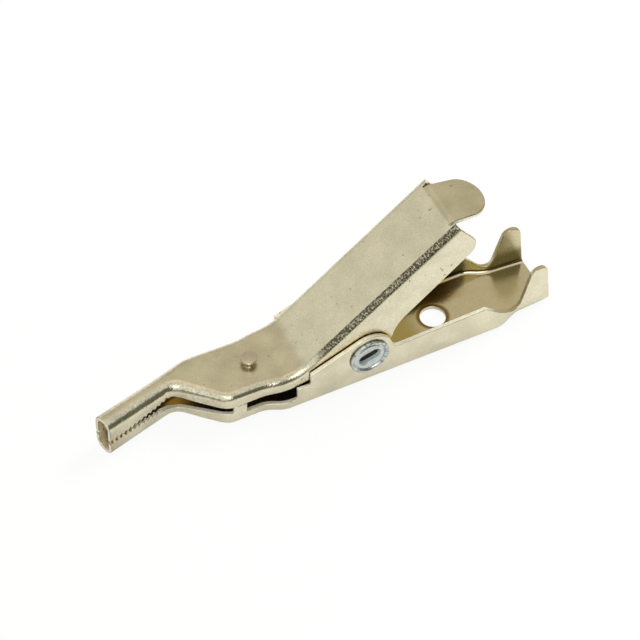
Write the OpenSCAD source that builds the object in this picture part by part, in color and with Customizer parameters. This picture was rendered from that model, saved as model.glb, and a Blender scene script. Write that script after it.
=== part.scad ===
// Angled-nose telecom test clip: two stamped levers on a hollow rivet, sprung shut,
// with a piercing pin over a wire notch. Millimetres, nose toward -X, tail toward +X,
// +Z up, standing on the flat base of the lower lever.

/* [Sheet] */
// Thickness of the stamped sheet
sheet_t = 0.6; // [0.5:0.05:0.75]
// Outer radius of the folded edges
bend_r = 1.15; // [1.05:0.05:1.4]
// Gap between the nested lever walls
side_gap = 0.09; // [0.07:0.01:0.15]

/* [Plan] */
// Half width of the pivot and tail channel
body_half = 5.75; // [5.5:0.05:6.1]
// Half width of the front of both jaws
front_half = 4.57; // [4.3:0.05:4.7]
// Half width of the toothed nose
nose_half = 1.55; // [1.45:0.05:1.7]
// Sideways angle of the nose
nose_angle = 15.2; // [12:0.2:18]
// Length of the nose along its own axis
nose_len = 11.2; // [10:0.1:12.5]
// Distance from the pin forward to the inner corner of the neck
knee_x = 10.5; // [10:0.1:11]
// Sideways offset of the nose axis at the neck
knee_y = 2.19; // [2:0.05:2.4]
// Distance from the pin forward to the outer corner of the jaw
belly_x = 5.2; // [4.9:0.1:5.5]

/* [Heights] */
// Top of the plate above the base, at the pin
plate_z = 5.72; // [5.5:0.05:6]
// Height of the line where the two jaws meet
split_z = 3.66; // [3.5:0.05:3.8]
// Height of the bite line at the nose tip
bite_z = 2.95; // [2.8:0.05:3.1]
// Rise of the plate toward the nose
plate_rise = 1.5; // [0.8:0.1:2]

/* [Teeth] */
// Number of teeth on each jaw
teeth_n = 13; // [8:1:14]
// Depth of a tooth
tooth_d = 0.42; // [0.25:0.01:0.5]

/* [Wire notch] */
// Floor of the wire notch above the base
notch_z = 1.9; // [1.5:0.05:2.2]
// Distance from the pin back to the end of the notch
notch_x = 4.42; // [4:0.05:4.7]
// Length of the tab in front of the notch
tab_len = 1.8; // [1.4:0.05:2.2]

/* [Pivot] */
// Distance from the pin back to the pivot
pivot_x = 14.8; // [14.4:0.1:15.2]
// Height of the pivot above the base
pivot_z = 5.3; // [5.1:0.05:5.5]
// Radius of the rivet's shank
shank_r = 2.0; // [1.9:0.05:2.05]
// Radius of the rivet's heads
rivet_r = 2.83; // [2.6:0.05:3]
// Height of the rivet's heads
rivet_h = 0.5; // [0.4:0.05:0.6]

/* [Handle] */
// Angle of the handle above the base
handle_angle = 37.75; // [36:0.25:39]
// Straight length of the handle
handle_len = 26.7; // [25:0.1:28]
// Depth of the handle's side flanges
flange_d = 6.22; // [5.9:0.02:6.4]
// Taper of the side flanges toward the tongue
flange_taper = 0.3; // [0:0.02:0.4]
// Length of the thumb tongue past its fold
tongue_len = 5.7; // [4.6:0.1:6.4]
// Angle of the thumb tongue's fold
tongue_fold = 45; // [38:1:52]
// Distance from the tongue's fold to the end of the handle
tongue_back = 0.85; // [0.6:0.05:1.2]
// Width of the slit at each side of the tongue
tongue_slit = 0.3; // [0.2:0.05:0.4]

/* [Tail] */
// Distance from the pin back to the end of the tail
tail_x = 43.2; // [42:0.05:44]
// Height of the tail walls at the neck
wall_z = 5.5; // [5.3:0.05:5.8]
// Fall of the tail walls toward the pivot
wall_fall = 0.35; // [0.1:0.05:0.45]
// Half width over the front of the crimp ears
ear_half = 4.44; // [4.2:0.02:4.7]
// Narrowing of each side toward the end of the tail
ear_taper = 0.4; // [0:0.05:0.5]
// Height of the crimp ears
ear_z = 7.6; // [7:0.05:8]
// Radius of the lead hole in the tail floor
hole_r = 1.77; // [1.6:0.01:2]
// Distance from the pin back to the lead hole
hole_x = 27.45; // [26.8:0.05:28.4]

/* [Pin] */
// Radius of the pin's head
pin_head_r = 1.13; // [0.95:0.01:1.2]
// Height of the pin's head over the plate
pin_head_h = 1.08; // [0.8:0.02:1.3]
// Height of the neck under the pin's head
pin_neck_h = 0.7; // [0.5:0.02:0.76]
// Radius of the pin's shank
pin_r = 0.7; // [0.6:0.05:0.8]

/* [Spring] */
// Radius of the spring wire
wire_r = 0.5; // [0.4:0.02:0.52]
// Whole turns in the coil
coil_turns = 5; // [4:1:5]

/* [Hidden] */
$fn = 64;

bend_steps = 7;
nickel = [0.80, 0.77, 0.66];
nickel_worn = [0.84, 0.82, 0.73];
zinc = [0.66, 0.69, 0.69];
spring_steel = [0.56, 0.55, 0.50];
pin_steel = [0.74, 0.70, 0.62];

upper_half = body_half - sheet_t - side_gap;
nose_w = nose_half / cos(nose_angle);
nose_dx = nose_len * cos(nose_angle);
tip_x = -knee_x - nose_dx;
tip_y = knee_y - nose_len * sin(nose_angle);
far_corner_x = (front_half - nose_w - knee_y) / tan(nose_angle) - knee_x;
jog_x0 = 0.35;
jog_x1 = 2.45;
neck_x0 = tail_x - 8.1;
neck_x1 = tail_x - 5.6;
reach = 3;

// The model is built from the pin's axis and then centred on its length
x_min = tip_x - nose_half * sin(nose_angle);
mid_x = (x_min + tail_x) / 2;

// Smoothed outlines of the walls in plan

function mean(v) = v * [for (i = v) 1] / len(v);
function smooth(x, table, w) = mean([for (k = [-4:4]) lookup(x + w * k / 4, table)]);
function slope(x, table, w) = (smooth(x + 0.05, table, w) - smooth(x - 0.05, table, w)) / 0.1;
function stretch(x, table, w) = sqrt(1 + pow(slope(x, table, w), 2));
function nose_y(x) = knee_y + tan(nose_angle) * (x + knee_x);

function near_table(half) = [
    [tip_x - 2 * reach, nose_y(tip_x - 2 * reach) - nose_w],
    [-knee_x, knee_y - nose_w],
    [-belly_x, -front_half],
    [jog_x0, -front_half],
    [jog_x1, -half],
    [neck_x0, -half]
];
function far_table(half) = [
    [tip_x - 2 * reach, nose_y(tip_x - 2 * reach) + nose_w],
    [far_corner_x, front_half],
    [jog_x0, front_half],
    [jog_x1, half],
    [neck_x0, half]
];
function ear_y(x) = ear_half - ear_taper * (x - neck_x1) / (tail_x - neck_x1);
function ear_table(side) = [for (x = [neck_x1, tail_x + reach]) [x, side * ear_y(x)]];
lower_near = concat(near_table(body_half), ear_table(-1));
lower_far = concat(far_table(body_half), ear_table(1));
upper_near = near_table(upper_half);
upper_far = far_table(upper_half);

// A folded channel: each ring is the sheet's cut section at one station

function fold_r(x, width, kn, kf) =
    min(lookup(x, [[-knee_x - 1.5, nose_half - 0.06], [-knee_x + 3, bend_r]]), width / (kn + kf) - 0.06);

function section(yn, yf, kn, kf, r, depth) = let (s = bend_steps, t = sheet_t) concat(
    [[yn, depth]],
    [for (i = [0:s]) [yn + kn * r * (1 - cos(90 * i / s)), r - r * sin(90 * i / s)]],
    [for (i = [0:s]) [yf - kf * r * (1 - sin(90 * i / s)), r - r * cos(90 * i / s)]],
    [[yf, depth], [yf - kf * t, depth]],
    [for (i = [s:-1:0]) [yf - kf * (r - (r - t) * sin(90 * i / s)), r - (r - t) * cos(90 * i / s)]],
    [for (i = [s:-1:0]) [yn + kn * (r - (r - t) * cos(90 * i / s)), r - (r - t) * sin(90 * i / s)]],
    [[yn + kn * t, depth]]
);

function channel_section(x, near, far, depth) = let (
    w = 0.9,
    yn = smooth(x, near, w),
    yf = smooth(x, far, w),
    kn = stretch(x, near, w),
    kf = stretch(x, far, w)
) section(yn, yf, kn, kf, fold_r(x, yf - yn, kn, kf), depth);

module skin(rings, flip) {
    m = len(rings[0]);
    n = len(rings);
    sides = [for (i = [0:n - 2], j = [0:m - 1]) let (
        k = (j + 1) % m,
        a = i * m + j,
        b = a + m,
        c = (i + 1) * m + k,
        d = i * m + k
    ) each [[a, b, c], [a, c, d]]];
    last = (n - 1) * m;
    caps = [for (j = [0:m / 2 - 2]) let (k = m - 1 - j) each [
        [j, j + 1, k - 1],
        [j, k - 1, k],
        [last + k - 1, last + j + 1, last + j],
        [last + k, last + k - 1, last + j]
    ]];
    faces = concat(sides, caps);
    points = [for (ring = rings) each ring];
    polyhedron(points, flip ? [for (f = faces) [for (i = [len(f) - 1:-1:0]) f[i]]] : faces);
}

function steps(a, b, d) = let (n = ceil((b - a) / d)) [for (i = [0:n]) a + (b - a) * i / n];
front_stations = concat(
    [tip_x - reach],
    steps(-knee_x - 2.4, -2.9, 0.42),
    steps(-0.9, 3.7, 0.35)
);

module sheet_cut() {
    rotate([90, 0, 0]) linear_extrude(height = 40, center = true) children();
}

module nose_end() {
    translate([tip_x, tip_y, -20]) rotate([0, 0, nose_angle]) translate([-20, -20, 0]) cube([20, 40, 60]);
}

function arc(c, r, a0, a1, n) =
    [for (i = [0:n]) c + r * [cos(a0 + (a1 - a0) * i / n), sin(a0 + (a1 - a0) * i / n)]];

// A row of teeth along a bow from a to b, each a peak on the bow and a root to one side of it
function tooth_row(a, b, n, root) = [for (i = [0:n - 1], k = [0:1]) let (u = (i + k / 2) / n)
    [a[0] + (b[0] - a[0]) * u, a[1] + (b[1] - a[1]) * u * u + (k == 0 ? 0 : root)]];

// Angle on a circle of the point where a line from p touches it: side 1 is the upper tangent, -1 the lower one
function touch(p, c, r, side) = let (v = c - p) atan2(v[1], v[0]) + side * (asin(r / norm(v)) + 90);

pivot = [pivot_x, pivot_z];
teeth_x0 = tip_x + 0.35;
teeth_x1 = -knee_x - 1;
tooth_len = (teeth_x1 - teeth_x0) / teeth_n;

// Lower lever

lobe_r = 3.55;
tab_x1 = -2.45;
tab_x0 = tab_x1 - tab_len;
ledge_z = notch_z + 1.85;
step_x = notch_x + 1.95;
step_z = 5.72;
jaw_gap = 0.08;
ear_x = tail_x - 4.8;
ear_round = 1.4;
ear_lean = 15;
dip_r = 1.2;
dip_z = 1.55;
lobe_fillet = 1.2;

function lower_edge() = let (
    s = [step_x, step_z],
    wall_z0 = wall_z - wall_fall,
    fillet_z = wall_z0 + lobe_fillet - pivot_z,
    fillet_x = sqrt(pow(lobe_r + lobe_fillet, 2) - fillet_z * fillet_z),
    fillet_a = atan2(fillet_z, fillet_x)
) concat(
    [[tip_x - 2 * reach, -reach], [tip_x - 2 * reach, bite_z - 0.06]],
    tooth_row([teeth_x0, bite_z - 0.06], [teeth_x1 - 2 * tooth_len, bite_z - 0.4], teeth_n - 2, -tooth_d),
    [
        [teeth_x1 - 2 * tooth_len, bite_z - 0.45],
        [-knee_x - 1.2, bite_z - 0.8],
        [-knee_x - 0.1, bite_z - 1.25],
        [-knee_x + 1.3, bite_z - 1.15],
        [-knee_x + 2.8, bite_z - 0.9],
        [-belly_x - 1.1, bite_z - 0.7],
        [-belly_x, bite_z - 0.52],
        [tab_x0, bite_z - 0.6],
        [tab_x0, split_z - jaw_gap],
        [tab_x1, split_z - jaw_gap],
        [tab_x1, notch_z],
        [notch_x, notch_z],
        [notch_x, ledge_z],
        [step_x, ledge_z - 0.1],
        s
    ],
    arc(pivot, lobe_r, touch(s, pivot, lobe_r, 1), fillet_a, 24),
    arc(pivot + [fillet_x, fillet_z], lobe_fillet, 180 + fillet_a, 270, 6),
    arc([ear_x - 6.35, wall_z - 0.8], 0.8, 90, 45, 4),
    arc([ear_x - 0.9, dip_z + dip_r], dip_r, 225, 360 - ear_lean, 9),
    arc([tail_x - 1.95, ear_z - ear_round], ear_round, 180 - ear_lean, -6, 14),
    [[tail_x, 0], [tail_x, -reach]]
);

module lower_lever() {
    rings = [for (x = concat(front_stations, steps(neck_x0 - 1.2, neck_x1 + 1.2, 0.45), [tail_x]))
        [for (p = channel_section(x, lower_near, lower_far, 9.6)) [x, p[0], p[1]]]];
    color(nickel) translate([-mid_x, 0, 0]) difference() {
        intersection() {
            skin(rings, false);
            sheet_cut() polygon(lower_edge());
        }
        nose_end();
        translate([pivot_x, 0, pivot_z]) rotate([90, 0, 0]) cylinder(r = shank_r, h = 30, center = true);
        translate([hole_x, 0, -1]) cylinder(r = hole_r, h = 3);
    }
}

// Upper lever

ear_r = 3.2;
corner_r = 2;
flange_fillet = 5.4;
flange_x = -13.9;
fold_radius = 6;
fold_x = 2.8;
fold_steps = 8;
fold_at = [fold_x, plate_z - tan(plate_rise) * fold_x];
fold_c = fold_at + fold_radius * [sin(plate_rise), cos(plate_rise)];
function fold_point(a) = fold_c + fold_radius * [sin(a), -cos(a)];
handle_dir = [cos(handle_angle), sin(handle_angle)];
handle_end = fold_point(handle_angle) + handle_len * handle_dir;

// Point at distance s along the handle from its end and depth d under its top face
function on_handle(s, d) = handle_end + s * handle_dir + d * [sin(handle_angle), -cos(handle_angle)];

function upper_edge() = let (e = [notch_x + 2.05, split_z + 0.5]) concat(
    [[tip_x - 2 * reach, 60], [tip_x - 2 * reach, bite_z + 0.03]],
    tooth_row([teeth_x0, bite_z + 0.03], [teeth_x1, bite_z + 1.15], teeth_n, tooth_d),
    [
        [teeth_x1, bite_z + 1.2],
        [-knee_x - 0.5, bite_z + 1.22],
        [-knee_x + 0.3, split_z + 0.22],
        [-knee_x + 1.6, split_z + 0.05],
        [-knee_x + 2.8, split_z],
        [notch_x - 0.6, split_z],
        e
    ],
    arc(pivot, ear_r, touch(e, pivot, ear_r, -1), -10, 22),
    [pivot + [ear_r + 0.4, 0.9]],
    [for (a = [40:-8:0]) on_handle(
        flange_x - flange_fillet * sin(a),
        flange_d + flange_fillet * (1 - cos(a))
    )],
    [for (a = [0:15:90]) on_handle(
        corner_r * (sin(a) - 1),
        flange_d - flange_taper + corner_r * (cos(a) - 1)
    )],
    [on_handle(0, -1), [handle_end[0], 60]]
);

module at_handle_end() {
    translate([handle_end[0], 0, handle_end[1]]) rotate([0, -handle_angle, 0]) children();
}

tongue_room = upper_half - bend_r;
tongue_half = tongue_room - tongue_slit;
tongue_fold_r = 1.55;
tongue_oval = 3;
tongue_taper = 0.15;
tongue_lap = 0.4;

// The tongue's side view: a lap on the handle, the fold and the flat
function tongue_profile() = let (
    c = [0, -tongue_fold_r],
    a = 90 - tongue_fold,
    inner = tongue_fold_r - sheet_t,
    flat = tongue_len * [cos(tongue_fold), -sin(tongue_fold)]
) concat(
    [[-tongue_lap, 0]],
    arc(c, tongue_fold_r, 90, a, 6),
    [c + tongue_fold_r * [cos(a), sin(a)] + flat, c + inner * [cos(a), sin(a)] + flat],
    arc(c, inner, a, 90, 6),
    [[-tongue_lap, -sheet_t]]
);

// The tongue's outline from above: nearly straight sides and an oval end
function tongue_outline() = let (x = tongue_len - tongue_oval, y = tongue_half - tongue_taper) concat(
    [[-2 * tongue_len, -tongue_half], [0, -tongue_half]],
    [for (a = [-90:10:90]) [x + tongue_oval * cos(a), y * sin(a)]],
    [[0, tongue_half], [-2 * tongue_len, tongue_half]]
);

module tongue() {
    at_handle_end() translate([-tongue_back, 0, 0]) intersection() {
        sheet_cut() polygon(tongue_profile());
        translate([0, 0, -tongue_fold_r]) rotate([0, tongue_fold, 0])
            linear_extrude(height = 2 * tongue_len, center = true) polygon(tongue_outline());
    }
}

module upper_lever() {
    front = [for (x = [for (v = front_stations) if (v < fold_x - 0.05) v])
        [x, plate_z - tan(plate_rise) * x, -plate_rise, x]];
    fold = [for (i = [0:fold_steps]) let (
        a = -plate_rise + (handle_angle + plate_rise) * i / fold_steps,
        p = fold_point(a)
    ) [p[0], p[1], a, p[0]]];
    frames = concat(front, fold, [[handle_end[0], handle_end[1], handle_angle, handle_end[0]]]);
    rings = [for (f = frames) [for (p = channel_section(f[3], upper_near, upper_far, 10.6))
        [f[0] + p[1] * sin(f[2]), p[0], f[1] - p[1] * cos(f[2])]]];
    color(nickel_worn) translate([-mid_x, 0, 0]) difference() {
        union() {
            difference() {
                intersection() {
                    skin(rings, true);
                    sheet_cut() polygon(upper_edge());
                }
                at_handle_end() translate([-tongue_back, -tongue_room, -2 * sheet_t])
                    cube([reach, 2 * tongue_room, 3 * sheet_t]);
            }
            tongue();
        }
        nose_end();
        translate([pivot_x, 0, pivot_z]) rotate([90, 0, 0])
            cylinder(r = shank_r + 0.07, h = 30, center = true);
        cylinder(r = pin_r, h = 30);
    }
}

// Pivot rivet

slot_len = 3.2;
slot_w = 1.8;
slot_tilt = 15;

// A clinched head: a rolled rim round a shallow dish
module rivet_head() {
    roll = rivet_h / 2;
    dish = rivet_h - 0.16;
    rotate_extrude() polygon(concat(
        [[0, 0]],
        arc([rivet_r - roll, roll], roll, -90, 110, 10),
        [[slot_len / 2 + 0.2, dish], [0, dish]]
    ));
}

module pivot_rivet() {
    run = (slot_len - slot_w) / 2;
    color(zinc) translate([pivot_x - mid_x, 0, pivot_z]) difference() {
        union() {
            rotate([90, 0, 0]) cylinder(r = shank_r, h = 2 * body_half, center = true);
            for (side = [-1, 1]) translate([0, side * body_half, 0]) rotate([-90 * side, 0, 0]) rivet_head();
        }
        rotate([90, 0, 0]) rotate([0, 0, slot_tilt]) linear_extrude(height = 40, center = true) union() {
            square([2 * run, slot_w], center = true);
            for (side = [-1, 1]) translate([side * run, 0]) circle(d = slot_w);
        }
    }
}

// Torsion spring

coil_r = shank_r + wire_r + 0.2;
coil_steps = 22;
coil_half = (coil_turns + 0.32) * (wire_r + 0.045);
wire_sides = 10;
up_angle = handle_angle + 14;
down_angle = 12;

function coil_point(a) = pivot + coil_r * [cos(a), sin(a)];

// Length of the upper leg, from the coil to the underside of the handle
leg_from = coil_point(up_angle + 90);
leg_gap = (handle_end - leg_from) * [-sin(handle_angle), cos(handle_angle)] - sheet_t - wire_r - 0.03;
leg_len = leg_gap / sin(up_angle - handle_angle);
foot_from = coil_point(270 - down_angle);
foot_len = (foot_from[1] - sheet_t - wire_r - 0.03) / sin(down_angle);

function spring_path() = let (
    a0 = 270 - down_angle,
    a1 = up_angle + 90 - 360 * coil_turns,
    n = ceil((a0 - a1) / 360 * coil_steps),
    foot = foot_from + foot_len * [cos(down_angle), -sin(down_angle)],
    tip = leg_from + leg_len * [cos(up_angle), sin(up_angle)]
) concat(
    [[foot[0], coil_half, foot[1]]],
    [for (i = [0:n]) let (p = coil_point(a0 + (a1 - a0) * i / n)) [p[0], coil_half * (1 - 2 * i / n), p[1]]],
    [[tip[0], -coil_half, tip[1]]]
);

function unit(v) = v / norm(v);
function wire_ring(path, i) = let (
    a = path[max(i - 1, 0)],
    b = path[min(i + 1, len(path) - 1)],
    t = unit(b - a),
    n = unit(cross([0, 1, 0], t)),
    s = cross(t, n)
) [for (k = [0:wire_sides - 1]) path[i] + wire_r * (cos(360 * k / wire_sides) * n + sin(360 * k / wire_sides) * s)];

module torsion_spring() {
    path = spring_path();
    color(spring_steel) translate([-mid_x, 0, 0])
        skin([for (i = [0:len(path) - 1]) wire_ring(path, i)], false);
}

// Piercing pin

module piercing_pin() {
    point_z = sheet_t + 0.5;
    cone = 2.0;
    ease = 0.1;
    head_z = plate_z + pin_neck_h;
    top = plate_z + pin_head_h;
    color(pin_steel) translate([-mid_x, 0, 0]) rotate_extrude() polygon([
        [0, point_z],
        [pin_r, point_z + cone],
        [pin_r, head_z],
        [pin_head_r - ease, head_z],
        [pin_head_r, head_z + ease],
        [pin_head_r, top - ease],
        [pin_head_r - ease, top],
        [0, top]
    ]);
}

lower_lever();
upper_lever();
pivot_rivet();
torsion_spring();
piercing_pin();
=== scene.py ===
import bpy
import bmesh
import math
from mathutils import Matrix, Vector
from mathutils.bvhtree import BVHTree


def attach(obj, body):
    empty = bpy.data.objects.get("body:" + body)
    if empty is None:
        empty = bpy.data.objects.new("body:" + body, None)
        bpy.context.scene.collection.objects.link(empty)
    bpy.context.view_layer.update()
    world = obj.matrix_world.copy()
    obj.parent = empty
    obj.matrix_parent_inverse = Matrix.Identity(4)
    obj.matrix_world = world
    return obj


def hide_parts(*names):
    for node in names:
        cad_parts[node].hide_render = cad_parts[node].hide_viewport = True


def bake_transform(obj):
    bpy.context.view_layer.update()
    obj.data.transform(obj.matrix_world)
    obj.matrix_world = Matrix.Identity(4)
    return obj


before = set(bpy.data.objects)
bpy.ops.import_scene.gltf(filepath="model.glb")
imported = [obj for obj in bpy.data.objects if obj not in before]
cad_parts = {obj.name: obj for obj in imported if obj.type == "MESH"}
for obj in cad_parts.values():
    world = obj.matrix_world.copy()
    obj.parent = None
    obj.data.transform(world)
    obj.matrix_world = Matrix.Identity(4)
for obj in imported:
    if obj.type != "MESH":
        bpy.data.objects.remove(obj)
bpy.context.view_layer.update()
print("frame loaded:", sorted(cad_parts))

mm = 0.001
scene = bpy.context.scene


# a shader socket that can be used in sums, so masks read like formulas
class Sock:
    def __init__(self, shader, out):
        self.shader = shader
        self.out = out

    def math(self, operation, first, second):
        return self.shader.add("ShaderNodeMath", {"operation": operation}, {0: first, 1: second})

    def __add__(self, other):
        return self.math("ADD", self, other)

    def __radd__(self, other):
        return self.math("ADD", other, self)

    def __sub__(self, other):
        return self.math("SUBTRACT", self, other)

    def __rsub__(self, other):
        return self.math("SUBTRACT", other, self)

    def __mul__(self, other):
        return self.math("MULTIPLY", self, other)

    def __rmul__(self, other):
        return self.math("MULTIPLY", other, self)

    def __truediv__(self, other):
        return self.math("DIVIDE", self, other)

    def __pow__(self, other):
        return self.math("POWER", self, other)

    def biggest(self, other):
        return self.math("MAXIMUM", self, other)

    def smallest(self, other):
        return self.math("MINIMUM", self, other)

    # 0 up to none and 1 from full on, smooth between, in either direction
    def rise(self, none, full):
        if none > full:
            return 1 - self.rise(full, none)
        smooth = {"interpolation_type": "SMOOTHSTEP", "clamp": True}
        inputs = {"Value": self, "From Min": none, "From Max": full}
        return self.shader.add("ShaderNodeMapRange", smooth, inputs)


# one node tree; add makes every node, and its inputs go by name or number
class Shader:
    def __init__(self, tree):
        self.tree = tree
        tree.nodes.clear()

    def add(self, kind, settings=None, inputs=None, out=0):
        node = self.tree.nodes.new(kind)
        for key, value in (settings or {}).items():
            setattr(node, key, value)
        for key, value in (inputs or {}).items():
            if isinstance(value, Sock):
                self.tree.links.new(value.out, node.inputs[key])
            else:
                node.inputs[key].default_value = value
        return Sock(self, node.outputs[out]) if node.outputs else None

    def mix(self, amount, first, second):
        return self.add("ShaderNodeMix", {"data_type": "RGBA"}, {0: amount, 6: first, 7: second}, 2)

    def split(self, vector):
        return [self.add("ShaderNodeSeparateXYZ", None, {0: vector}, axis) for axis in range(3)]

    # kind is the noise's detail and roughness
    def noise(self, coords, size, kind, stretch=(1, 1, 1)):
        scaled = self.add("ShaderNodeMapping", None, {"Vector": coords, "Scale": stretch})
        inputs = {"Vector": scaled, "Scale": 1 / size, "Detail": kind[0], "Roughness": kind[1]}
        return self.add("ShaderNodeTexNoise", {"noise_dimensions": "3D"}, inputs)


def rgba(colour):
    return (colour[0], colour[1], colour[2], 1.0)


def distance(a, b):
    return (a * a + b * b) ** 0.5


# multiplies fades: each row has a way, where it is none, where it is full and perhaps how ragged it is
def maskOf(rows, ways, torn=None):
    mask = 1
    for way, none, full, *ragged in rows:
        along = ways[way] + torn * ragged[0] if ragged else ways[way]
        mask = along.rise(none, full) * mask
    return mask


def newMaterial(name):
    material = bpy.data.materials.new(name)
    material.use_nodes = True
    return material, Shader(material.node_tree)


# camera: where the photograph was taken from
camLook = {
    "azimuth": 26.771, "elevation": 49.751, "roll": 0.254,
    "lens": 173.83, "sensor": 36, "nearest": 0.01,
    "away": 409.3, "aimRight": 9.302, "aimUp": 9.267, "pin": (-10.743, 0, 0),
}


def makeCamera(look):
    a, e = math.radians(look["azimuth"]), math.radians(look["elevation"])
    right = Vector((math.cos(a), -math.sin(a), 0))
    up = Vector((math.sin(a) * math.sin(e), math.cos(a) * math.sin(e), math.cos(e)))
    back = right.cross(up)
    place = Vector(look["pin"]) + right * look["aimRight"] + up * look["aimUp"] + back * look["away"]
    turn = Matrix((right, up, back)).transposed() @ Matrix.Rotation(math.radians(look["roll"]), 3, "Z")
    data = bpy.data.cameras.new("photoCamera")
    data.lens = look["lens"]
    data.sensor_width = look["sensor"]
    data.clip_start = look["nearest"]
    camera = bpy.data.objects.new("photoCamera", data)
    camera.matrix_world = Matrix.Translation(place * mm) @ turn.to_4x4()
    scene.collection.objects.link(camera)
    scene.camera = camera


makeCamera(camLook)
scene.view_settings.view_transform = "Standard"
print("camera set")


# a mark is a colour in a mask of fades, in mm; it can have a shape of its own and sink into the metal; most
# of these marks are painted shade and painted light
def stain(tone, *rows, shape=None, amount=1.0, patchy=0.0, sink=0.0):
    return {"tone": tone, "rows": rows, "shape": shape, "amount": amount, "patchy": patchy, "sink": sink}


# the lower teeth stand along a bow, and their cut edges are painted brown down at their roots, a painted
# shade in the gaps
bowLook = {
    "start": -31.7, "length": 8.0, "top": 2.89, "fall": 0.34, "depth": 0.42,
    "rootTop": (0.15, 0.7), "rootEnd": (1.3, 1.1), "faint": (-29.5, -26.5), "faintBy": 0.7,
}


def toothGapShade(ways):
    look = bowLook
    u = (ways["x"] - look["start"]) / look["length"]
    deep = (look["top"] - ways["z"] - u * u * look["fall"]) / look["depth"]
    roots = deep.rise(*look["rootTop"]) * deep.rise(*look["rootEnd"])
    return roots * (1 - ways["x"].rise(*look["faint"]) * look["faintBy"])


# painted shade and painted reflection, golden, on the upper flange just above the lobes, which are round at
# the pivot and straight in front of it
seamLook = {"pivot": (4.057, 5.3), "lobe": 3.55, "slope": 22.0, "hidden": (-0.5, -0.05), "fade": (0.6, 0.0)}


def lobeSeamShade(ways):
    look = seamLook
    across = ways["x"] - look["pivot"][0]
    above = ways["z"] - look["pivot"][1]
    slope = math.radians(look["slope"])
    along = (across * math.cos(slope) + above * math.sin(slope)).biggest(0)
    over = above * math.cos(slope) - across * math.sin(slope)
    gap = distance(along, over) - look["lobe"]
    return gap.rise(*look["hidden"]) * gap.rise(*look["fade"])


# painted shade, brown, round the lead hole's rim
holeLook = {"x": 16.707, "rim": (2.5, 2.05)}


def holeRimShade(ways):
    return distance(ways["x"] - holeLook["x"], ways["y"]).rise(*holeLook["rim"])


# nickel plate, with its peel, pits and cloudiness; sizes are in mm
nickelLook = {
    "base": (0.655, 0.617, 0.462), "warm": (0.775, 0.728, 0.557),
    "dull": (0.46, 0.42, 0.295), "pit": (0.20, 0.17, 0.11),
    "cloudSize": 3.2, "cloudKind": (3, 0.55), "cloudSpan": (0.3, 0.7), "patchSpan": (0.5, 0.7),
    "grainSize": 0.26, "grainKind": (2, 0.6), "grainSpan": (0.35, 0.75), "grainTint": 0.24,
    "smearSize": 2.4, "smearKind": (4, 0.65), "smearStretch": (1, 2.2, 1.6), "smearSpan": (0.62, 0.75),
    "smearTint": 0.36,
    "pitSize": 0.75, "pitKind": (3, 0.6), "pitLow": 0.66, "pitEdge": 0.09, "pitTint": 0.7,
    "rough": 0.22, "cloudRough": 0.12, "grainRough": 0.1, "pitRough": 0.2,
    "peel": 1.0, "pitDepth": 1.2, "bump": 0.5, "depth": 0.025, "metal": 1.0, "stains": (),
}


def makeNickel(name, **changes):
    look = dict(nickelLook, **changes)
    material, s = newMaterial(name)
    coords = s.add("ShaderNodeTexCoord", out="Object")
    cloud = s.noise(coords, look["cloudSize"] * mm, look["cloudKind"])
    grain = s.noise(coords, look["grainSize"] * mm, look["grainKind"])
    pits = s.noise(coords, look["pitSize"] * mm, look["pitKind"])
    pits = pits.rise(look["pitLow"], look["pitLow"] + look["pitEdge"])
    smear = s.noise(coords, look["smearSize"] * mm, look["smearKind"], look["smearStretch"])
    smear = smear.rise(*look["smearSpan"])
    tone = s.mix(cloud.rise(*look["cloudSpan"]), rgba(look["base"]), rgba(look["warm"]))
    tone = s.mix(grain.rise(*look["grainSpan"]) * look["grainTint"], tone, rgba(look["dull"]))
    tone = s.mix(smear * look["smearTint"], tone, rgba(look["dull"]))
    tone = s.mix(pits * look["pitTint"], tone, rgba(look["pit"]))
    torn = cloud - 0.5
    rough = look["rough"] + torn * look["cloudRough"] + grain * look["grainRough"] + pits * look["pitRough"]
    height = grain * look["peel"] - pits * look["pitDepth"]
    ways = dict(zip("xyz", [axis / mm for axis in s.split(coords)]))
    # the marks, mostly painted shade and painted light, are mixed in last
    for mark in look["stains"]:
        mask = maskOf(mark["rows"], ways, torn) * mark["amount"]
        if mark["shape"]:
            mask = mark["shape"](ways) * mask
        if mark["patchy"]:
            mask = mask * (1 - cloud.rise(*look["patchSpan"]) * mark["patchy"])
        if mark["sink"]:
            height = height - mask * mark["sink"]
        tone = s.mix(mask, tone, rgba(mark["tone"]))
    bump = s.add("ShaderNodeBump", None, {
        "Strength": look["bump"], "Distance": look["depth"] * mm, "Height": height})
    shade = s.add("ShaderNodeBsdfPrincipled", None, {
        "Base Color": tone, "Roughness": rough, "Metallic": look["metal"], "Normal": bump})
    s.add("ShaderNodeOutputMaterial", None, {"Surface": shade})
    return material


# the golden band along the lobe seam is painted shade and painted reflection
upperNickel = makeNickel("wornNickel", stains=(
    stain((0.44, 0.31, 0.07), ("x", -4.6, -3.6), shape=lobeSeamShade),))
lowerNickel = makeNickel("brightNickel", rough=0.2, pitLow=0.70)
# the plating is stretched to orange peel where the sheet is bent, most of all along the handle
frontBend = makeNickel(
    "stretchedNickel", dull=(0.24, 0.22, 0.15), grainTint=0.45, grainSize=0.34, rough=0.13, bump=1.0,
    depth=0.035, pitLow=0.72)
# the near side of the handle bend is also painted much darker, a painted shade for the dark band mirrored
# there, lighter again at its front end
shadedHandleBend = makeNickel(
    "crazedShadedNickel", base=(0.41, 0.385, 0.275), warm=(0.46, 0.43, 0.31), dull=(0.06, 0.055, 0.03),
    grainTint=0.94, grainSpan=(0.38, 0.54), grainSize=0.23, rough=0.15, bump=1.0, depth=0.09, pitLow=0.72,
    stains=(stain((0.69, 0.65, 0.49), ("x", -1.5, -4.2)),))
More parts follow.
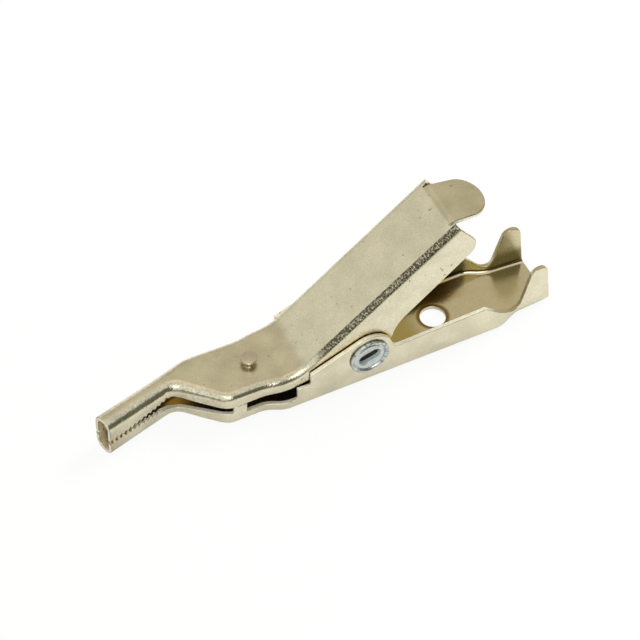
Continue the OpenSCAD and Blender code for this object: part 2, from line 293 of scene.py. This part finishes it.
# shearing leaves the cut edges rough and pale; they are painted brown at the tooth roots as painted shade,
# and are browner low at the rear of the ears
cutEdge = makeNickel(
    "shearedEdge", base=(0.96, 0.92, 0.77), warm=(0.97, 0.94, 0.83), dull=(0.60, 0.48, 0.24),
    grainTint=0.4, grainSize=0.35, rough=0.3, bump=1.0, depth=0.05, metal=0.35, stains=(
        stain((0.36, 0.24, 0.08), ("x", -23.4, -24.0), shape=toothGapShade),
        stain((0.39, 0.32, 0.16), ("x", 21.0, 23.5), ("z", 11.0, 9.5), patchy=0.7),
    ))
# inside the folds the plating is painted darker and browner, a painted shade and painted reflection of the
# enclosed hollows
upperInside = makeNickel("shadedNickelInside", base=(0.11, 0.075, 0.03), warm=(0.15, 0.105, 0.045), rough=0.3)
# the lower lever's floor is painted warmer, and browner towards the front and by the far wall, as painted
# shade and painted reflection under the handle; the hole's rim is painted dark and also sunk by the bump
lowerInside = makeNickel(
    "brightNickelInside", base=(0.70, 0.635, 0.43), warm=(0.68, 0.60, 0.39), rough=0.13, bump=0.15,
    pitLow=0.70, stains=(
        stain((0.48, 0.385, 0.14), ("x", 15.6, 12.2)),
        stain((0.46, 0.30, 0.05), ("y", 0.3, 3.2, 4), ("x", 24.0, 19.0, 4)),
        stain((0.26, 0.17, 0.045), shape=holeRimShade, sink=2),
    ))
# the side walls inside are painted darker low down and near-black towards the front, a painted shade
sideInside = makeNickel(
    "shadedSideInside", base=(0.66, 0.60, 0.41), warm=(0.64, 0.57, 0.37), rough=0.2, bump=0.2, stains=(
        stain((0.15, 0.12, 0.035), ("z", 4.6, 2.6, 2), amount=0.85),
        stain((0.035, 0.02, 0.006), ("x", 27, 20, 5)),
    ))
# inside the jaws the plating is painted near-black as painted shade, with a golden painted light near the
# knee
frontInside = makeNickel(
    "shadedFrontInside", base=(0.07, 0.05, 0.022), warm=(0.10, 0.07, 0.03), rough=0.35, stains=(
        stain((0.50, 0.32, 0.05), ("x", -23.5, -20.7), ("x", -17.8, -20.2, 2)),))
# inside the nose's end the plating is painted pale and matte as painted light, and darker deeper in as
# painted shade
tipInside = makeNickel(
    "tipInside", base=(0.95, 0.80, 0.56), warm=(0.62, 0.46, 0.23), rough=0.42, bump=0.8, depth=0.04,
    metal=0.35, cloudSize=1.6, stains=(stain((0.16, 0.10, 0.03), ("x", -31.7, -30.7, 1.5)),))


# zinc on the rivet, marked outward by the clinching tool; sizes are in mm, markSize is on a unit circle
zincLook = {
    "base": (0.50, 0.54, 0.54), "pale": (0.66, 0.69, 0.67), "dull": (0.22, 0.24, 0.24), "metal": 1.0,
    "pivot": (4.057, 5.3), "cloudSize": 1.2, "cloudKind": (3, 0.6), "cloudSpan": (0.3, 0.7),
    "grainSize": 0.25, "grainKind": (3, 0.6), "grainSpan": (0.45, 0.8), "grainTint": 0.4,
    "markSize": 0.16, "markKind": (2, 0.6), "markSpan": (0.52, 0.62), "markTint": 0.25, "markLean": 60,
    "rimSpan": (2.0, 2.5), "rimTint": 0.5,
    "rough": 0.16, "grainRough": 0.16, "grainHeight": 0.6, "bump": 0.8, "depth": 0.05,
}


def makeZinc(name, **changes):
    look = dict(zincLook, **changes)
    material, s = newMaterial(name)
    coords = s.add("ShaderNodeTexCoord", out="Object")
    x, _, z = s.split(coords)
    across = x - look["pivot"][0] * mm
    above = z - look["pivot"][1] * mm
    away = distance(across, above)
    spokes = s.add("ShaderNodeCombineXYZ", None, {
        "X": across / away, "Y": above / away, "Z": away * look["markLean"]})
    marks = s.noise(spokes, look["markSize"], look["markKind"])
    grain = s.noise(coords, look["grainSize"] * mm, look["grainKind"])
    cloud = s.noise(coords, look["cloudSize"] * mm, look["cloudKind"])
    tone = s.mix(cloud.rise(*look["cloudSpan"]), rgba(look["base"]), rgba(look["pale"]))
    tone = s.mix(grain.rise(*look["grainSpan"]) * look["grainTint"], tone, rgba(look["dull"]))
    strength = look["markTint"] + (away / mm).rise(*look["rimSpan"]) * look["rimTint"]
    tone = s.mix(marks.rise(*look["markSpan"]) * strength, tone, rgba(look["dull"]))
    height = grain * look["grainHeight"] + marks
    bump = s.add("ShaderNodeBump", None, {
        "Strength": look["bump"], "Distance": look["depth"] * mm, "Height": height})
    shade = s.add("ShaderNodeBsdfPrincipled", None, {
        "Base Color": tone, "Roughness": look["rough"] + grain * look["grainRough"],
        "Metallic": look["metal"], "Normal": bump})
    s.add("ShaderNodeOutputMaterial", None, {"Surface": shade})
    return material


zinc = makeZinc("zincPlate")
# the slot's mouth is painted paler and less metallic as painted light, and the bore deeper in near-black as
# painted shade
litSlotWall = makeZinc("litSlotWall", base=(0.46, 0.56, 0.55), pale=(0.62, 0.72, 0.71), metal=0.3)
shadedRivetBore = makeNickel("shadedRivetBore", base=(0.05, 0.06, 0.05), warm=(0.08, 0.09, 0.08), rough=0.4)
pinMetal = makeNickel("pinMetal", base=(0.60, 0.54, 0.43), warm=(0.64, 0.57, 0.45), bump=0.2)
springSteel = makeNickel("springSteel", base=(0.46, 0.45, 0.41), warm=(0.5, 0.48, 0.43), rough=0.3)
print("materials ready")


# a face lies inside when some of a fan of lines from it meet a lever again, on a cut edge when
# the metal behind it is thicker than the sheet, and on a bend when it turns from the top to a side
zoneLook = {
    "fan": (-65, -30, 0, 30, 65), "reach": 12.0, "hits": 2, "lift": 0.15, "through": 40.0, "sheet": 0.95,
    "outward": 0.2, "upright": 0.7, "bendLow": 0.15, "bendHigh": 0.9,
    "tipEnd": -28.0, "frontEnd": 3.0, "handleStart": -3.5,
}
zones = ("outer", "cutEdge", "inside", "sideInside", "frontInside", "tipInside", "bend", "shadedHandleBend")
# one finish for each zone, in the order of the zones
# the inside finishes carry painted shade, the tip inside painted light and shade, and the near handle bend
# painted shade
lowerFinish = (
    lowerNickel, cutEdge, lowerInside, sideInside, frontInside, tipInside, lowerNickel, lowerNickel)
upperFinish = (
    upperNickel, cutEdge, upperInside, upperInside, frontInside, tipInside, frontBend, shadedHandleBend)


def leverTree(*nodes):
    bm = bmesh.new()
    for node in nodes:
        bm.from_mesh(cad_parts[node].data)
    tree = BVHTree.FromBMesh(bm)
    bm.free()
    return tree


def sortZones(bm, node, look):
    for place in ("tipEnd", "frontEnd", "handleStart"):
        everything = bm.verts[:] + bm.edges[:] + bm.faces[:]
        bmesh.ops.bisect_plane(bm, geom=everything, plane_co=(look[place] * mm, 0, 0), plane_no=(1, 0, 0))
    both = leverTree("lower_lever", "upper_lever")
    own = leverTree(node)
    turns = [Matrix.Rotation(math.radians(a), 3, "X") for a in look["fan"]]
    for face in bm.faces:
        centre = face.calc_center_median()
        lift = face.normal * look["lift"] * mm
        sideways = abs(face.normal.y)
        outward = face.normal.y * centre.y > 0 and sideways > look["outward"]
        tree = own if outward else both
        lines = [tree.ray_cast(centre + lift, turn @ face.normal, look["reach"] * mm) for turn in turns]
        hits = sum(line[0] is not None for line in lines)
        behind = own.ray_cast(centre - lift, -face.normal, look["through"] * mm)[3]
        along = centre.x / mm
        zone = "outer"
        if behind is not None and behind / mm + look["lift"] > look["sheet"]:
            zone = "cutEdge"
        elif hits >= look["hits"]:
            zone = "sideInside" if sideways > look["upright"] else "inside"
            if along < look["frontEnd"]:
                zone = "tipInside" if along < look["tipEnd"] else "frontInside"
        elif look["bendLow"] < sideways < look["bendHigh"]:
            zone = "shadedHandleBend" if along > look["handleStart"] and centre.y < 0 else "bend"
        face.material_index = zones.index(zone)


# turns a finished bmesh into an object, smooth but for edges sharper than the crease
def makePiece(bm, name, materials, crease):
    for face in bm.faces:
        face.smooth = True
    mesh = bpy.data.meshes.new(name)
    bm.to_mesh(mesh)
    bm.free()
    mesh.set_sharp_from_angle(angle=math.radians(crease))
    for material in materials:
        mesh.materials.append(material)
    piece = bpy.data.objects.new(name, mesh)
    scene.collection.objects.link(piece)
    print(name, "faces:", len(mesh.polygons))
    return piece


# a shell is the solid's own surface with its seams joined and its cut edges eased
shellLook = {
    "join": 0.002, "flat": 1.0, "sharp": 40, "ease": 0.1, "easeSteps": 3, "rejoin": 0.004, "crease": 35,
    "weight": 80,
}


def easeEdges(bm, look):
    bmesh.ops.dissolve_limit(bm, angle_limit=math.radians(look["flat"]), verts=bm.verts, edges=bm.edges)
    limit = math.radians(look["sharp"])
    sharp = [e for e in bm.edges if len(e.link_faces) == 2 and e.calc_face_angle(0) > limit]
    bmesh.ops.bevel(bm, geom=sharp, offset=look["ease"] * mm, offset_type="OFFSET", affect="EDGES",
                    segments=look["easeSteps"], profile=0.5, material=-1, clamp_overlap=False)
    bmesh.ops.remove_doubles(bm, verts=bm.verts, dist=look["rejoin"] * mm)


def makeShell(node, name, materials, body, look):
    bm = bmesh.new()
    bm.from_mesh(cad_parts[node].data)
    bmesh.ops.remove_doubles(bm, verts=bm.verts, dist=look["join"] * mm)
    bmesh.ops.dissolve_degenerate(bm, edges=bm.edges, dist=look["join"] * mm)
    if look["ease"]:
        easeEdges(bm, look)
    bm.normal_update()
    if len(materials) > 1:
        sortZones(bm, node, zoneLook)
    piece = makePiece(bm, name, materials, look["crease"])
    even = piece.modifiers.new("evenNormals", "WEIGHTED_NORMAL")
    even.keep_sharp = True
    even.weight = look["weight"]
    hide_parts(node)
    if body:
        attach(piece, body)
    return piece


lowerShell = makeShell("lower_lever", "lowerShell", lowerFinish, "lower", shellLook)
upperShell = makeShell("upper_lever", "upperShell", upperFinish, "upper", shellLook)


# the rivet is a tube with a slot through it, rolled over at both ends; a ring is radius, stretch, height
rivetLook = {
    "pivot": (4.057, 0, 5.3), "wall": 5.75, "tilt": 15, "segments": 64, "join": 0.001, "crease": 50,
    "slotReach": 1.75, "slotTop": 0.2, "darkBelow": -0.4,
    "rings": (
        (0.84, 0.70, -0.42), (0.87, 0.70, -0.38), (0.90, 0.70, 0.10), (0.95, 0.71, 0.24),
        (1.06, 0.72, 0.30), (1.86, 0.10, 0.31), (2.06, 0, 0.27), (2.18, 0, 0.14), (2.28, 0, 0.13),
        (2.37, 0, 0.25), (2.50, 0, 0.37), (2.64, 0, 0.40), (2.75, 0, 0.35), (2.82, 0, 0.24),
        (2.80, 0, 0.14), (2.62, 0, 0.10), (2.58, 0, 0.0), (1.98, 0, 0.0),
    ),
}


# which half of a stretched ring a point is in, or 0 on the line between them
def halfOf(across):
    nothing = 1e-8
    return (across > nothing) - (across < -nothing)


# draws a ring of edges out to the next radius, stretch and height
def drawRing(bm, edges, old, new):
    made = bmesh.ops.extrude_edge_only(bm, edges=edges)["geom"]
    verts = [g for g in made if isinstance(g, bmesh.types.BMVert)]
    for vert in verts:
        half = halfOf(vert.co.x)
        vert.co.x = (vert.co.x - half * old[1] * mm) * new[0] / old[0] + half * new[1] * mm
        vert.co.y = vert.co.y * new[0] / old[0]
        vert.co.z = new[2] * mm
    fresh = set(verts)
    return [g for g in made if isinstance(g, bmesh.types.BMEdge) and fresh.issuperset(g.verts)]


def makeRivet(look):
    bm = bmesh.new()
    near = [(r, stretch, look["wall"] + out) for r, stretch, out in look["rings"]]
    far = [(r, stretch, -height) for r, stretch, height in near[::-1]]
    middle = (near[0][0], near[0][1], 0)
    bmesh.ops.create_circle(bm, segments=look["segments"], radius=middle[0] * mm)
    for vert in bm.verts:
        vert.co.x += halfOf(vert.co.x) * middle[1] * mm
    edges = bm.edges[:]
    old = middle
    for ring in near + far + [middle]:
        edges = drawRing(bm, edges, old, ring)
        old = ring
    bmesh.ops.remove_doubles(bm, verts=bm.verts, dist=look["join"] * mm)
    bmesh.ops.recalc_face_normals(bm, faces=bm.faces)
    # painted light at the slot's mouth, painted shade deeper in the bore
    finish = (zinc, shadedRivetBore, litSlotWall)
    for face in bm.faces:
        centre = face.calc_center_median() / mm
        height = abs(centre.z) - look["wall"]
        metal = zinc
        if centre.xy.length < look["slotReach"] and height < look["slotTop"]:
            metal = shadedRivetBore if height < look["darkBelow"] else litSlotWall
        face.material_index = finish.index(metal)
    turn = Matrix.Rotation(math.radians(90), 4, "X") @ Matrix.Rotation(math.radians(look["tilt"]), 4, "Z")
    bmesh.ops.transform(bm, matrix=Matrix.Translation(Vector(look["pivot"]) * mm) @ turn, verts=bm.verts)
    piece = makePiece(bm, "rivetTube", finish, look["crease"])
    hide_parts("pivot_rivet")
    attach(piece, "lower")


makeRivet(rivetLook)


# the pin is turned: a flat head on a short neck, and a point under the plate
pinLook = {
    "place": (-10.743, 0), "headRadius": 1.13, "neckRadius": 0.70, "top": 6.80, "headBase": 6.42,
    "point": 1.10, "cone": 2.0, "segments": 56, "join": 0.001, "sharp": 50, "edge": 0.09, "edgeSteps": 3,
    "crease": 40,
}


def makePin(look):
    bm = bmesh.new()
    shape = [
        (0, look["top"]),
        (look["headRadius"], look["top"]),
        (look["headRadius"], look["headBase"]),
        (look["neckRadius"], look["headBase"]),
        (look["neckRadius"], look["point"] + look["cone"]),
        (0, look["point"]),
    ]
    px, py = look["place"]
    points = [bm.verts.new(Vector((px + r, py, z)) * mm) for r, z in shape]
    edges = [bm.edges.new(pair) for pair in zip(points, points[1:])]
    bmesh.ops.spin(bm, geom=points + edges, cent=Vector((px, py, 0)) * mm, axis=(0, 0, 1), angle=math.tau,
                   steps=look["segments"], use_merge=True)
    bmesh.ops.remove_doubles(bm, verts=bm.verts, dist=look["join"] * mm)
    bmesh.ops.recalc_face_normals(bm, faces=bm.faces)
    rims = [e for e in bm.edges if e.calc_face_angle(0) > math.radians(look["sharp"])]
    bmesh.ops.bevel(bm, geom=rims, offset=look["edge"] * mm, offset_type="OFFSET", affect="EDGES",
                    segments=look["edgeSteps"], profile=0.5, material=-1)
    piece = makePiece(bm, "pinStud", (pinMetal,), look["crease"])
    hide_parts("piercing_pin")
    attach(piece, "upper")


makePin(pinLook)
coil = makeShell("torsion_spring", "coilSpring", (springSteel,), None, dict(shellLook, ease=0))
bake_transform(coil)


# a white floor, which the plating mirrors as a sheet of paper that ends at the sides and in front
floorLook = {
    "size": 3.0, "drop": 0.00002, "white": (0.9, 0.9, 0.9), "glow": 0.9, "mirror": 0.25,
    "paper": (1, 1, 1), "paperMid": (0.008, -0.005), "paperHalf": (0.033, 0.05), "paperEnd": (0.85, 1.3),
    "pastPaper": (0.26, 0.26, 0.2),
}


def makeFloor(look):
    bm = bmesh.new()
    bmesh.ops.create_grid(bm, x_segments=1, y_segments=1, size=look["size"] / 2)
    mesh = bpy.data.meshes.new("studioFloor")
    bm.to_mesh(mesh)
    bm.free()
    floor = bpy.data.objects.new("studioFloor", mesh)
    floor.location.z = -look["drop"]
    scene.collection.objects.link(floor)
    material, s = newMaterial("floorWhite")
    camera = s.add("ShaderNodeLightPath", out="Is Camera Ray")
    glossy = s.add("ShaderNodeLightPath", out="Is Glossy Ray")
    x, y, _ = s.split(s.add("ShaderNodeTexCoord", out="Object"))
    paperX = (x - look["paperMid"][0]) / look["paperHalf"][0]
    paperY = ((y - look["paperMid"][1]) / look["paperHalf"][1]).smallest(0)
    past = distance(paperX, paperY).rise(*look["paperEnd"]) * glossy
    seen = (camera * look["glow"]).biggest(glossy * look["mirror"]).biggest(past)
    matte = s.add("ShaderNodeBsdfDiffuse", None, {"Color": rgba(look["white"])})
    colour = s.mix(past, rgba(look["paper"]), rgba(look["pastPaper"]))
    glow = s.add("ShaderNodeEmission", None, {"Color": colour, "Strength": 1.0})
    both = s.add("ShaderNodeMixShader", None, {0: seen, 1: matte, 2: glow})
    s.add("ShaderNodeOutputMaterial", None, {"Surface": both})
    mesh.materials.append(material)


makeFloor(floorLook)


# a soft box high on the right, which lights the part but isn't mirrored
boxLook = {"place": (0.36, 0.10, 0.34), "size": 0.25, "power": 1.6}


def makeBox(look):
    lamp = bpy.data.lights.new("softBox", "AREA")
    lamp.shape = "SQUARE"
    lamp.size = look["size"]
    lamp.energy = look["power"]
    box = bpy.data.objects.new("softBox", lamp)
    box.location = look["place"]
    box.rotation_euler = (-box.location).to_track_quat("-Z", "Y").to_euler()
    box.visible_glossy = False
    scene.collection.objects.link(box)


makeBox(boxLook)


# the room whose mirror image the plating shows: each patch is a colour and its fades by direction
roomLook = {
    "frontCeiling": (0.83, 0.83, 0.82), "backdrop": (1, 1, 1),
    "rightWay": (0.9, 0.35), "lampPlace": (0.05, 0.22),
    "patches": (
        # the ceiling behind
        ((0.64, 0.595, 0.49), (("y", 0.05, 0.5),)),
        # the right wall and its foot
        ((0.58, 0.52, 0.39), (("right", 0.45, 0.85),)),
        ((0.22, 0.17, 0.10), (("right", 0.45, 0.85), ("z", 0.28, 0.08))),
        # the left wall and the foot of the back wall
        ((0.92, 0.90, 0.85), (("x", -0.5, -0.68), ("y", 0.2, 0.45))),
        ((0.95, 0.94, 0.91), (("y", 0.7, 0.9), ("z", 0.36, 0.12))),
        # bright to the left of the camera
        ((1.0, 1.0, 0.97), (("y", -0.15, -0.35), ("x", 0.12, -0.05), ("z", 0.05, 0.2))),
        # dark along the skirting in front, and to the right of the camera
        ((0.16, 0.16, 0.12),
         (("z", 0.28, 0.12), ("x", -0.4, -0.15), ("y", -0.25, -0.5)),
         (("x", -0.14, 0.08), ("z", 0.76, 0.6), ("y", -0.25, -0.5))),
        # a window in front
        ((3.0, 2.95, 2.8),
         (("x", -0.5, -0.36), ("x", 0.08, -0.06), ("y", -0.18, -0.34), ("z", 0.42, 0.58), ("z", 0.87, 0.76))),
        # a warm lamp overhead
        ((1.15, 0.97, 0.80), (("lamp", 0.34, 0.14), ("z", 0.0, 0.3))),
    ),
}


def makeRoom(look):
    world = bpy.data.worlds.new("studioRoom")
    world.use_nodes = True
    scene.world = world
    s = Shader(world.node_tree)
    camera = s.add("ShaderNodeLightPath", out="Is Camera Ray")
    x, y, z = s.split(s.add("ShaderNodeTexCoord", out="Generated"))
    right = x * look["rightWay"][0] + y * look["rightWay"][1]
    lamp = distance(x - look["lampPlace"][0], y - look["lampPlace"][1])
    ways = {"x": x, "y": y, "z": z, "right": right, "lamp": lamp}
    room = rgba(look["frontCeiling"])
    for colour, rows, *others in look["patches"]:
        mask = maskOf(rows, ways)
        for other in others:
            mask = mask.biggest(maskOf(other, ways))
        room = s.mix(mask, room, rgba(colour))
    seen = s.mix(camera, room, rgba(look["backdrop"]))
    glow = s.add("ShaderNodeBackground", None, {"Color": seen, "Strength": 1.0})
    s.add("ShaderNodeOutputWorld", None, {"Surface": glow})


makeRoom(roomLook)
print("studio ready")
